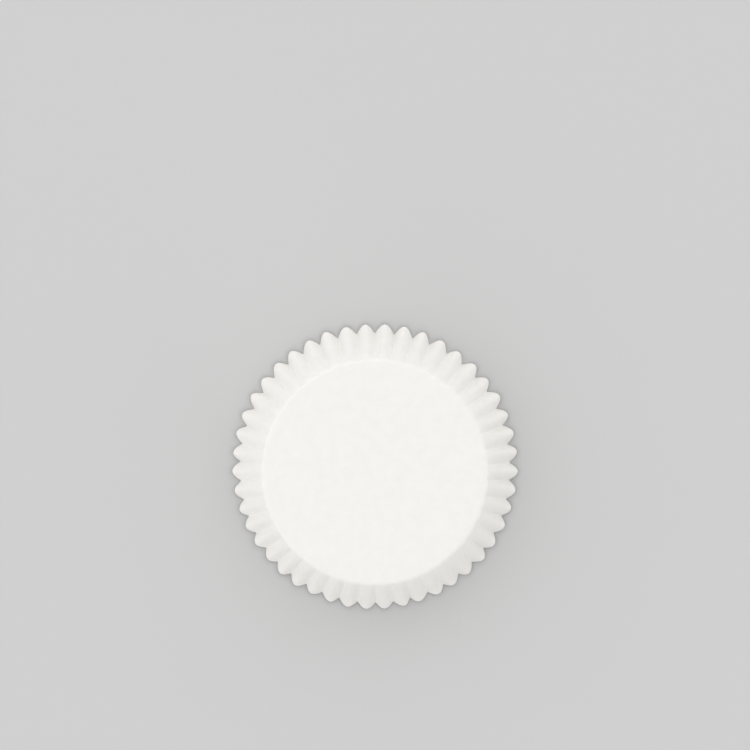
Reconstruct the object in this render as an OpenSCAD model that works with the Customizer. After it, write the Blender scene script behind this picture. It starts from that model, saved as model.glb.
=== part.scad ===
// Paper liner for a cupcake, folded from one round flat blank.
// It stands mouth down, on the inner folds of its pleated edge, with its base on top.
// The origin is at the middle of the mouth, on the plane that the edge stands on.

/* [Base] */
// Diameter of the base, to the corner where its face would meet the wall
base_d = 60; // [30:0.5:100]
// Radius of the soft fold round the base
fold_r = 1.2; // [0.6:0.1:3]

/* [Wall] */
// Height of the wall, at the middle of its pleats
wall_h = 19.6; // [10:0.1:50]
// How far the wall spreads outwards from the base to the mouth
flare = 7.4; // [2:0.1:20]
// How far the base's middle lies off the mouth's middle
base_shift = 1.1; // [0:0.1:4]

/* [Pleats] */
// Number of pleats round the wall
pleat_count = 46; // [24:1:50]
// Sharpness of the outer folds, from full and round to narrow
crest_sharpness = 1; // [0.6:0.05:1.6]

/* [Paper] */
// Thickness of the paper
paper_t = 0.08; // [0.05:0.01:0.3]

/* [Hidden] */

// Facets: steps round one pleat, then rings down the fold and down the wall
pleat_steps = 8;
fold_rings = 2;
wall_rings = 5;
// The wall's rings crowd towards the fold, where the pleats deepen fastest
ring_crowding = 1.7;

base_r = base_d / 2;
mouth_r = base_r + flare;
last_ring = fold_rings + wall_rings;
column_count = pleat_count * pleat_steps;
last_column = column_count - 1;

function angle_of(column) = column * 360 / column_count;
function unit(v) = v / norm(v);
function total(list) = list * [for (item = list) 1];

// The wall's run outwards in direction a, seen from the base's middle
function mouth_reach(a) = base_shift * sin(a) + sqrt(mouth_r ^ 2 - (base_shift * cos(a)) ^ 2);
function run_out(a) = mouth_reach(a) - base_r;
// The angle that the fold turns the paper through, from flat to the slope of the wall
function turn(a) = atan2(wall_h, run_out(a));
// The part of the face, and of the wall, that the rounded fold takes up
function fold_take(a) = fold_r * tan(turn(a) / 2);

// Points of the section in direction a: radius, drop below the base, slope and distance along the paper
function fold_point(a, share) =
    let (
        slope = turn(a) * share,
        flat = base_r - fold_take(a)
    )
    [
        flat + fold_r * sin(slope),
        fold_r * (1 - cos(slope)),
        slope,
        flat + fold_r * slope * PI / 180
    ];
function wall_point(a, share) =
    let (
        top = fold_point(a, 1),
        run = (norm([run_out(a), wall_h]) - fold_take(a)) * share
    )
    top + [run * cos(top[2]), run * sin(top[2]), 0, run];
function section_point(a, ring) =
    ring <= fold_rings
        ? fold_point(a, ring / fold_rings)
        : wall_point(a, ((ring - fold_rings) / wall_rings) ^ ring_crowding);

// Height of a pleat above its inner folds: rounded outside and sharp inside
function pleat_wave(turns) = abs(cos(180 * turns)) ^ crest_sharpness;
// Length of paper in a pleat of width 1 and the given depth
function pleat_paper(depth) =
    total([
        for (step = [1 : pleat_steps])
            norm([
                1 / pleat_steps,
                depth * (pleat_wave(step / pleat_steps) - pleat_wave((step - 1) / pleat_steps))
            ])
    ]);
// The depth at which a pleat of width 1 takes up the given length of paper, by halving
function pleat_depth(paper, low = 0, high = undef, tries = 18) =
    let (
        top = is_undef(high) ? paper / 2 : high,
        middle = (low + top) / 2
    )
    tries == 0
        ? middle
        : pleat_paper(middle) > paper
            ? pleat_depth(paper, low, middle, tries - 1)
            : pleat_depth(paper, middle, top, tries - 1);

// The middle of the paper: every ring keeps the length it had in the flat blank
function paper_point(column, ring) =
    let (
        a = angle_of(column),
        at = section_point(a, ring),
        pleat_w = 2 * PI * at[0] / pleat_count,
        depth = pleat_w * pleat_depth(at[3] / at[0]),
        out = depth * (pleat_wave(column / pleat_steps) - 0.5),
        radius = at[0] + out * sin(at[2])
    )
    [radius * cos(a), radius * sin(a), out * cos(at[2]) - at[1]];
sheet = [
    for (ring = [0 : last_ring])
        [for (column = [0 : last_column]) paper_point(column, ring)]
];

// One face of the paper, set off to a side by the same distance on both flanks of each fold
function side_point(column, ring, distance) =
    let (
        a = angle_of(column),
        slope = section_point(a, ring)[2],
        down = [cos(slope) * cos(a), cos(slope) * sin(a), -sin(slope)],
        here = sheet[ring][column],
        before = sheet[ring][(column + last_column) % column_count],
        after = sheet[ring][(column + 1) % column_count],
        flank_1 = unit(cross(down, here - before)),
        flank_2 = unit(cross(down, after - here))
    )
    here + distance * (flank_1 + flank_2) / (1 + flank_1 * flank_2);
function side_ring(ring, distance) =
    [for (column = [0 : last_column]) side_point(column, ring, distance)];

// The rings run down the outside and back up the inside
outside = [for (ring = [0 : last_ring]) side_ring(ring, paper_t / 2)];
inside = [for (ring = [last_ring : -1 : 0]) side_ring(ring, -paper_t / 2)];
skin = concat(outside, inside);
last_skin = len(skin) - 1;
foot_z = min([for (ring = [skin[last_ring], skin[last_ring + 1]], point = ring) point.z]);
base_middles = [[0, 0, paper_t / 2], [0, 0, -paper_t / 2]];
points = concat([for (ring = skin) each ring], base_middles);

function index(ring, column) = ring * column_count + column % column_count;
// The seam between two triangles is mirrored on the two flanks of a pleat, and the inside
// has its seams behind those of the outside, so that the paper is as thick all over
function band_faces(ring, column) =
    let (
        a = index(ring, column),
        b = index(ring, column + 1),
        c = index(ring + 1, column + 1),
        d = index(ring + 1, column),
        first_flank = column % pleat_steps < pleat_steps / 2,
        going_down = ring <= last_ring
    )
    first_flank == going_down
        ? [[a, b, c], [a, c, d]]
        : [[a, b, d], [b, c, d]];
wall_faces = [
    for (ring = [0 : last_skin - 1], column = [0 : last_column])
        each band_faces(ring, column)
];
outer_middle = len(points) - 2;
inner_middle = len(points) - 1;
base_faces = [
    for (column = [0 : last_column])
        each [
            [outer_middle, index(0, column + 1), index(0, column)],
            [inner_middle, index(last_skin, column), index(last_skin, column + 1)]
        ]
];

module liner() {
    color("white")
        translate([0, -base_shift, -foot_z])
            polyhedron(points = points, faces = concat(wall_faces, base_faces));
}

liner();
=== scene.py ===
import bisect
import math
import random

import bmesh
import bpy
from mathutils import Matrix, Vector, noise


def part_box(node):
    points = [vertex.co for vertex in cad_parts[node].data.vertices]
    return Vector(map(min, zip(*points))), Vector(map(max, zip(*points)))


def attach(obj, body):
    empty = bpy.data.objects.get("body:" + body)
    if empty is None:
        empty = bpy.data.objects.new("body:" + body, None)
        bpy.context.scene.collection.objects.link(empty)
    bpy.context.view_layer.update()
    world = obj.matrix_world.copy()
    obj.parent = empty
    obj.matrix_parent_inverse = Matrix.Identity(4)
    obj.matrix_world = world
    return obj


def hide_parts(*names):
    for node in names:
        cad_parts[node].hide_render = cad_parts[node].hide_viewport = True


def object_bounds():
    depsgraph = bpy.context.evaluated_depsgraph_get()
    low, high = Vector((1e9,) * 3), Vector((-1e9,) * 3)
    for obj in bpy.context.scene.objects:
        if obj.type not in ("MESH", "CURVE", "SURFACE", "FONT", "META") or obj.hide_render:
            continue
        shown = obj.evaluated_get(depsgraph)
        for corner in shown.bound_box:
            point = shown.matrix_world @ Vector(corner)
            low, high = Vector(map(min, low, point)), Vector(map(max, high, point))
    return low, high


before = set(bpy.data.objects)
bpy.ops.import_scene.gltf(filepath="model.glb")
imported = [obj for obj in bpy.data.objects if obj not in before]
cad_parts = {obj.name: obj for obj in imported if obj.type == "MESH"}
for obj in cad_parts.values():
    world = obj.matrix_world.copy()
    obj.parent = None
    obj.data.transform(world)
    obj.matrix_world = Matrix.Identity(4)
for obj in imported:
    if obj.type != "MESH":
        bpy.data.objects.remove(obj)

CAD_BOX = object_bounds()

MM = 0.001

# The liner's own sizes, the same as the solid's
BASE_R = 30 * MM
FOLD_R = 1.2 * MM
WALL_H = 19.6 * MM
FLARE = 7.4 * MM
BASE_SHIFT = 1.1 * MM
PLEATS = 46
PAPER_T = 0.08 * MM

BASE_MIDDLE = Vector((0, -BASE_SHIFT, 0))
MOUTH_R = BASE_R + FLARE
PITCH = math.tau / PLEATS

# Fineness of the sheet: steps from a crest to an inner fold, and rings in each stretch
HALF_STEPS = 12
BASE_RINGS = 8
FOLD_RINGS = 6
WALL_RINGS = 20
# Rings crowd towards the fold from both of its sides
BASE_CROWDING = 0.6
WALL_CROWDING = 1.5
# How much closer the steps stand at an inner fold than at a crest
STEP_CROWDING = 0.8
# Steps in the table of pleat depths
DEPTH_STEPS = 300
# Points of the flat disc that are closer than this are one point
SAME_POINT = 1e-6
# Bend radius left at an inner fold, as a share of the pleat's wave
CREASE_SOFTNESS = 0.09
# How closely the whitening keeps to an inner fold. The whitening is partly the paper's real
# crease whitening and partly painted light that lifts the shade in the folds
CREASE_AND_PAINTED_LIGHT_POWER = 2
# A bend sharper than this between two faces is the paper's cut edge
CUT_EDGE_ANGLE = math.radians(60)

# Share by which the pleats are deeper than their mean on the side where the wall
# spreads furthest, and shallower on the side across
SIDE_DEPTH = 0.24

# Unevenness of the paper: each pleat's depth, place and lean, and the sheet's own waves
PLEAT_SEED = 46
CREST_SPREAD = 0.045
INNER_SPREAD = CREST_SPREAD * 0.6
PLACE_SPREAD = 0.022
LEAN_SPREAD = 0.06
WALL_WAVE = 0.05 * MM
WALL_WAVE_SIZE = 6 * MM
BASE_WAVE = 0.10 * MM
BASE_WAVE_SIZE = 22 * MM
# Levels of the noise at which the two kinds of waves are read, apart from each other
WALL_WAVE_LEVEL = 0
BASE_WAVE_LEVEL = 40 * MM
# How far the base's edge droops into its fold, and how late the droop starts
EDGE_DROOP = 0.25 * MM
DROOP_POWER = 8
# How far the wall bows inwards two thirds of the way down, so that it spreads at its mouth
WALL_BOW = 0.35 * MM
# Brings the curve of the bow, down ** 2 * (1 - down), to 1 where it is highest
BOW_SCALE = 27 / 4


# The section: where the paper runs before it is pleated
# A place t runs from 0 to 1 on the base, to 2 round the fold and to 3 down the wall

def wall_run(a):
    """How far the wall runs outwards in direction a, from the base's corner to the mouth."""
    reach = BASE_SHIFT * math.sin(a)
    reach += math.sqrt(MOUTH_R ** 2 - (BASE_SHIFT * math.cos(a)) ** 2)
    return reach - BASE_R


def stretches(a):
    """In direction a: the flat face's radius, the fold's turn and the wall's length."""
    run = wall_run(a)
    height = WALL_H - EDGE_DROOP
    turn = math.atan2(height, run)
    take = FOLD_R * math.tan(turn / 2)
    return BASE_R - take, turn, math.hypot(run, height) - take


def passed(t):
    """Shares of the base, of the fold and of the wall that lie within t."""
    return min(t, 1), min(max(t - 1, 0), 1), max(t - 2, 0)


def sheet_distance(a, t):
    """Distance along the paper from the middle of the base to t."""
    flat, turn, wall = stretches(a)
    across, round_fold, down = passed(t)
    return flat * across + FOLD_R * turn * round_fold + wall * down


def on_section(a, t):
    """Radius, height from the base's face, and slope of the unpleated paper."""
    flat, turn, wall = stretches(a)
    across, round_fold, down = passed(t)
    slope = turn * round_fold
    run = wall * down
    bow = WALL_BOW * BOW_SCALE * down ** 2 * (1 - down)
    radius = flat * across + FOLD_R * math.sin(slope)
    radius += run * math.cos(slope) - bow * math.sin(slope)
    drop = FOLD_R * (1 - math.cos(slope)) + EDGE_DROOP * across ** DROOP_POWER
    drop += run * math.sin(slope) + bow * math.cos(slope)
    return radius, -drop, slope


# The pleats: how deep they are for the paper that they take up

def pleat_wave(place):
    """Height of a pleat: 1 at its crest, where place is 0, and 0 at its inner fold, at 1."""
    soft = CREASE_SOFTNESS
    low = math.hypot(math.cos(place * math.pi / 2), soft) - soft
    return low / (math.hypot(1, soft) - soft)


def step_place(step):
    """Where a step from crest to inner fold lies, closer together towards the fold."""
    even = step / HALF_STEPS
    return even + STEP_CROWDING * (math.sin(even * math.pi / 2) - even)


def pleat_paper(depth):
    """Length of paper in a pleat of width 1 and the given depth."""
    places = [step_place(step) for step in range(HALF_STEPS + 1)]
    return sum(
        2 * math.hypot((b - a) / 2, depth * (pleat_wave(a) - pleat_wave(b)))
        for a, b in zip(places, places[1:])
    )


DEPTHS = [i / DEPTH_STEPS for i in range(DEPTH_STEPS + 1)]
PAPERS = [pleat_paper(depth) for depth in DEPTHS]


def pleat_depth(paper):
    """Depth of a pleat of width 1 that takes up the given length of paper."""
    i = min(max(bisect.bisect_left(PAPERS, paper), 1), len(PAPERS) - 1)
    share = (paper - PAPERS[i - 1]) / (PAPERS[i] - PAPERS[i - 1])
    return DEPTHS[i - 1] + max(share, 0) * (DEPTHS[i] - DEPTHS[i - 1])


def uneven_pleats():
    """Each pleat's crest height and lean, and its inner fold's height and place, uneven."""
    draw = random.Random(PLEAT_SEED)
    return [
        {
            "crest": draw.gauss(0, CREST_SPREAD),
            "lean": draw.gauss(0, LEAN_SPREAD),
            "inner": draw.gauss(0, INNER_SPREAD),
            "place": draw.gauss(0, PLACE_SPREAD),
        }
        for _ in range(PLEATS)
    ]


# The sheet

def ring_places():
    """Rings down the sheet: on the base, round the fold, and down the wall."""
    base = [(i / BASE_RINGS) ** BASE_CROWDING for i in range(BASE_RINGS)]
    fold = [1 + i / FOLD_RINGS for i in range(FOLD_RINGS)]
    wall = [2 + (i / WALL_RINGS) ** WALL_CROWDING for i in range(WALL_RINGS + 1)]
    return base + fold + wall


def flat_disc():
    """A flat disc spun from one spoke, on which a point's distance from the middle is its t."""
    bm = bmesh.new()
    spoke = [bm.verts.new((t, 0, 0)) for t in ring_places()]
    spoke_edges = [bm.edges.new(pair) for pair in zip(spoke, spoke[1:])]
    bmesh.ops.spin(
        bm,
        geom=spoke + spoke_edges,
        cent=(0, 0, 0),
        axis=(0, 0, 1),
        angle=math.tau,
        steps=PLEATS * HALF_STEPS * 2,
        use_merge=True,
    )
    bmesh.ops.remove_doubles(bm, verts=bm.verts, dist=SAME_POINT)
    bmesh.ops.recalc_face_normals(bm, faces=bm.faces)
    if sum(face.normal.z for face in bm.faces) < 0:
        bmesh.ops.reverse_faces(bm, faces=bm.faces)
    return bm


def pleat_of(a, pleats):
    """Crest height, inner fold height, wave and true direction for the even direction a."""
    turns = a / PITCH
    number = math.floor(turns + 0.5)
    side = turns - number
    place = step_place(abs(side) * 2 * HALF_STEPS)
    own = pleats[number % PLEATS]
    if side >= 0:
        way, fold = 1, own
    else:
        way, fold = -1, pleats[(number - 1) % PLEATS]
    crest_at = number + own["lean"] / 2
    fold_at = number + way / 2 + fold["place"]
    true_a = (crest_at + (fold_at - crest_at) * place) * PITCH
    return own["crest"], fold["inner"], pleat_wave(place), true_a


def sheet_wave(point, level, size):
    """The sheet's own wave at a point of the flat blank, from -1 to 1."""
    return noise.noise(Vector((point.x, point.y, level)) / size)


def fold_sheet(bm, pleats):
    """Folds the flat disc, and keeps each point's place on the flat blank as its UV."""
    blank = {}
    crease_and_painted_light = bm.verts.layers.float.new("crease_and_painted_light")
    for vert in bm.verts:
        t = vert.co.xy.length
        a = math.atan2(vert.co.y, vert.co.x)
        crest, inner, wave, true_a = pleat_of(a, pleats)
        true_a = a + (true_a - a) * min(t, 1)
        paper = sheet_distance(true_a, t)
        radius, height, slope = on_section(true_a, t)
        blank[vert] = Vector((paper * math.cos(true_a), paper * math.sin(true_a)))
        out = 0
        if t > 1:
            width = math.tau * radius / PLEATS
            depth = width * pleat_depth(paper / radius) * (1 + SIDE_DEPTH * math.sin(true_a))
            high = depth * (0.5 + crest)
            low = depth * (-0.5 + inner)
            out = low + (high - low) * wave
            ripple = sheet_wave(blank[vert], WALL_WAVE_LEVEL, WALL_WAVE_SIZE)
            out += WALL_WAVE * ripple * min(t - 1, 1)
            # Whiter along the inner folds: partly real crease whitening, partly painted light
            # that lifts the folds' shade
            vert[crease_and_painted_light] = (1 - wave) ** CREASE_AND_PAINTED_LIGHT_POWER * min(t - 1, 1)
        else:
            ripple = sheet_wave(blank[vert], BASE_WAVE_LEVEL, BASE_WAVE_SIZE)
            height += BASE_WAVE * ripple * (1 - t ** DROOP_POWER)
        radius += out * math.sin(slope)
        height += out * math.cos(slope)
        vert.co = Vector((radius * math.cos(true_a), radius * math.sin(true_a), height))
    uv = bm.loops.layers.uv.new("blank")
    size = 2 * max(point.length for point in blank.values())
    for face in bm.faces:
        for loop in face.loops:
            loop[uv].uv = blank[loop.vert] / size + Vector((0.5, 0.5))


def give_thickness(bm):
    """Turns the sheet into a closed shell of paper, half of its thickness to each side."""
    bm.normal_update()
    shifts = [vert.normal * vert.calc_shell_factor() * PAPER_T / 2 for vert in bm.verts]
    for vert, shift in zip(bm.verts, shifts):
        vert.co += shift
    bm.normal_update()
    bmesh.ops.solidify(bm, geom=bm.faces[:], thickness=PAPER_T)
    bm.normal_update()


def paper_liner(pleats):
    """The liner as one thin sheet with its real thickness, standing on its inner folds."""
    bm = flat_disc()
    fold_sheet(bm, pleats)
    give_thickness(bm)
    solid_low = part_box("liner")[0]
    lowest = min(vert.co.z for vert in bm.verts)
    lift = Vector((0, 0, solid_low[2] - lowest))
    bmesh.ops.translate(bm, vec=BASE_MIDDLE + lift, verts=bm.verts)
    for face in bm.faces:
        face.smooth = True
    for edge in bm.edges:
        edge.smooth = edge.calc_face_angle() < CUT_EDGE_ANGLE
    mesh = bpy.data.meshes.new("pleated_paper")
    bm.to_mesh(mesh)
    bm.free()
    piece = bpy.data.objects.new("pleated_paper", mesh)
    bpy.context.scene.collection.objects.link(piece)
    return piece


# The paper's finish

PAPER_SPECULAR = 0.25
PAPER_SHEEN = 0.04
SHEEN_ROUGHNESS = 0.5
# The paper is a little less glossy where its clouds are light
GLOSS_CLOUDS = (0.25, 0.75)
PAPER_ROUGHNESS = (0.50, 0.60)

CLOUD_TONES = ((0.868, 0.848, 0.812), (0.892, 0.874, 0.841))
FLECK_TONE = (0.912, 0.898, 0.872)
# The inner folds' tone: the paper's crease whitening together with painted light that lifts the
# folds' shade
CREASE_AND_PAINTED_LIGHT_TONE = (0.915, 0.905, 0.885)
CLOUD_RANGE = (0.3, 0.7)
FLECK_RANGE = (0.52, 0.75)
# How much of their own tone the flecks and the creases get at most. The creases' whitening is
# partly painted light on the folds' shade
FLECK_SHARE = 0.35
CREASE_AND_PAINTED_LIGHT_SHARE = 0.8

# Scales of the flat blank's UV, even for clouds and flecks, drawn out for the fibres
SHEET_SCALE = (100, 100, 100)
FIBRE_SCALES = ((90, 340, 100), (360, 110, 100))
CLOUDS = {"scale": 0.35, "detail": 5, "distortion": 0.6}
FLECKS = {"scale": 3.2, "detail": 3, "distortion": 1.5}
FIBRES = {"scale": 3.0, "detail": 4, "distortion": 2.2}
NOISE_ROUGHNESS = 0.55

RELIEF_STRENGTH = 0.5
FIBRE_RELIEF = 0.018 * MM
CLOUD_RELIEF = 0.05 * MM

# Places of a colour mix's sockets, whose names its other kinds of sockets share
MIX_FACTOR = 0
MIX_COLOURS = (6, 7)
MIX_RESULT = 2


def link(tree, source, output, target, socket):
    tree.links.new(source.outputs[output], target.inputs[socket])


def noise_on(tree, where, scale, detail, distortion):
    texture = tree.nodes.new("ShaderNodeTexNoise")
    texture.inputs["Scale"].default_value = scale
    texture.inputs["Detail"].default_value = detail
    texture.inputs["Roughness"].default_value = NOISE_ROUGHNESS
    texture.inputs["Distortion"].default_value = distortion
    link(tree, where, "Vector", texture, "Vector")
    return texture


def mapped(tree, coordinates, output, scale):
    mapping = tree.nodes.new("ShaderNodeMapping")
    mapping.inputs["Scale"].default_value = scale
    link(tree, coordinates, output, mapping, "Vector")
    return mapping


def ranged(tree, source, output, given, wanted):
    """Maps the given range of a value to the wanted one."""
    span = tree.nodes.new("ShaderNodeMapRange")
    for socket, value in zip(("From Min", "From Max", "To Min", "To Max"), given + wanted):
        span.inputs[socket].default_value = value
    link(tree, source, output, span, "Value")
    return span


def added(tree, first, first_output, second, second_output, clamp=False):
    both = tree.nodes.new("ShaderNodeMath")
    both.operation = "ADD"
    both.use_clamp = clamp
    link(tree, first, first_output, both, 0)
    link(tree, second, second_output, both, 1)
    return both


def mixed(tree, factor, factor_output, *colours):
    """The output of a mix of two colours, each a tone or another node's output."""
    mix = tree.nodes.new("ShaderNodeMix")
    mix.data_type = "RGBA"
    link(tree, factor, factor_output, mix, MIX_FACTOR)
    for socket, colour in zip(MIX_COLOURS, colours):
        if isinstance(colour, tuple):
            mix.inputs[socket].default_value = (*colour, 1)
        else:
            tree.links.new(colour, mix.inputs[socket])
    return mix.outputs[MIX_RESULT]


def relief(tree, source, output, height):
    bump = tree.nodes.new("ShaderNodeBump")
    bump.inputs["Strength"].default_value = RELIEF_STRENGTH
    bump.inputs["Distance"].default_value = height
    link(tree, source, output, bump, "Height")
    return bump


def greaseproof_paper():
    """White baking paper: cloudy formation, fine felted fibres, whiter along its inner folds,
    partly as real crease whitening and partly as painted light on the folds' shade.
    """
    material = bpy.data.materials.new("greaseproof_paper")
    material.use_nodes = True
    tree = material.node_tree
    surface = tree.nodes["Principled BSDF"]
    surface.inputs["Specular IOR Level"].default_value = PAPER_SPECULAR
    surface.inputs["Sheen Weight"].default_value = PAPER_SHEEN
    surface.inputs["Sheen Roughness"].default_value = SHEEN_ROUGHNESS

    coordinates = tree.nodes.new("ShaderNodeTexCoord")
    sheet = mapped(tree, coordinates, "UV", SHEET_SCALE)
    clouds = noise_on(tree, sheet, **CLOUDS)
    flecks = noise_on(tree, sheet, **FLECKS)
    long_fibres, cross_fibres = [
        noise_on(tree, mapped(tree, coordinates, "UV", scale), **FIBRES)
        for scale in FIBRE_SCALES
    ]
    crease_and_painted_light = tree.nodes.new("ShaderNodeAttribute")
    crease_and_painted_light.attribute_name = "crease_and_painted_light"

    cloudiness = ranged(tree, clouds, "Fac", CLOUD_RANGE, (0, 1))
    body = mixed(tree, cloudiness, "Result", *CLOUD_TONES)
    fleck_share = ranged(tree, flecks, "Fac", FLECK_RANGE, (0, FLECK_SHARE))
    body = mixed(tree, fleck_share, "Result", body, FLECK_TONE)
    # Painted light: the inner folds are lightened against their shade, on top of the paper's
    # real crease whitening
    crease_and_painted_light_share = ranged(tree, crease_and_painted_light, "Fac", (0, 1), (0, CREASE_AND_PAINTED_LIGHT_SHARE))
    body = mixed(tree, crease_and_painted_light_share, "Result", body, CREASE_AND_PAINTED_LIGHT_TONE)
    tree.links.new(body, surface.inputs["Base Color"])

    gloss = ranged(tree, clouds, "Fac", GLOSS_CLOUDS, PAPER_ROUGHNESS)
    link(tree, gloss, "Result", surface, "Roughness")

    felt = added(tree, long_fibres, "Fac", cross_fibres, "Fac")
    grain = relief(tree, felt, "Value", FIBRE_RELIEF)
    cockle = relief(tree, clouds, "Fac", CLOUD_RELIEF)
    link(tree, grain, "Normal", cockle, "Normal")
    link(tree, cockle, "Normal", surface, "Normal")
    return material


# The studio

FLOOR_TONE = (0.605, 0.605, 0.605)
FLOOR_SIZE = 4.0
FLOOR_ROUGHNESS = 0.9
FLOOR_SPECULAR = 0.2
WORLD_LEVEL = 0.41
# How bright the world looks beyond the floor, about as the floor itself
BACKDROP_LEVEL = 0.66
# Wide soft lamps that stand low round the liner, as azimuth from +X and level
LAMPS = {"key": (112, 1.99), "left_fill": (226, 1.80), "right_fill": (1, 1.60)}
LAMP_ELEVATION = 14
LAMP_SOFTNESS = 110

PHOTO_SIDE = 750
# The base in the photograph: its width and its middle, in pixels
BASE_WIDTH = 225.2
BASE_PIXEL = Vector((375.0, 472.5))
PIXEL = 2 * BASE_R / BASE_WIDTH
CAMERA_HEIGHT = 1500 * MM
# How far the camera sees, past the whole floor
SIGHT = 10
SENSOR = 36.0


def floor():
    bm = bmesh.new()
    bmesh.ops.create_grid(bm, x_segments=1, y_segments=1, size=FLOOR_SIZE / 2)
    mesh = bpy.data.meshes.new("floor")
    bm.to_mesh(mesh)
    bm.free()
    plane = bpy.data.objects.new("floor", mesh)
    material = bpy.data.materials.new("floor")
    material.use_nodes = True
    surface = material.node_tree.nodes["Principled BSDF"]
    surface.inputs["Base Color"].default_value = (*FLOOR_TONE, 1)
    surface.inputs["Roughness"].default_value = FLOOR_ROUGHNESS
    surface.inputs["Specular IOR Level"].default_value = FLOOR_SPECULAR
    mesh.materials.append(material)
    bpy.context.scene.collection.objects.link(plane)


def soft_light():
    """An even world that shows as the backdrop only where it is seen, and the lamps."""
    world = bpy.data.worlds.new("studio")
    world.use_nodes = True
    tree = world.node_tree
    background = tree.nodes["Background"]
    background.inputs["Color"].default_value = (1, 1, 1, 1)
    rays = tree.nodes.new("ShaderNodeLightPath")
    seen = added(tree, rays, "Is Camera Ray", rays, "Is Glossy Ray", clamp=True)
    seen = added(tree, seen, "Value", rays, "Is Transmission Ray", clamp=True)
    strength = ranged(tree, seen, "Value", (0, 1), (WORLD_LEVEL, BACKDROP_LEVEL))
    link(tree, strength, "Result", background, "Strength")
    bpy.context.scene.world = world
    for name, (azimuth, level) in LAMPS.items():
        lamp = bpy.data.lights.new(name, "SUN")
        lamp.energy = level
        lamp.angle = math.radians(LAMP_SOFTNESS)
        stand = bpy.data.objects.new(name, lamp)
        stand.rotation_euler = (0, math.radians(90 - LAMP_ELEVATION), math.radians(azimuth))
        bpy.context.scene.collection.objects.link(stand)


def camera():
    """Straight down on the base, framed as the photograph."""
    top = CAD_BOX[1][2]
    middle = PHOTO_SIDE / 2
    across = (middle - BASE_PIXEL.x) * PIXEL
    along = (BASE_PIXEL.y - middle) * PIXEL
    lens = bpy.data.cameras.new("camera")
    lens.sensor_width = SENSOR
    lens.lens = SENSOR * CAMERA_HEIGHT / (PHOTO_SIDE * PIXEL)
    lens.clip_end = SIGHT
    eye = bpy.data.objects.new("camera", lens)
    eye.location = BASE_MIDDLE + Vector((across, along, top + CAMERA_HEIGHT))
    bpy.context.scene.collection.objects.link(eye)
    bpy.context.scene.camera = eye


liner = paper_liner(uneven_pleats())
liner.data.materials.append(greaseproof_paper())
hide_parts("liner")
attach(liner, "root")

floor()
soft_light()
camera()
bpy.context.scene.view_settings.view_transform = "Standard"
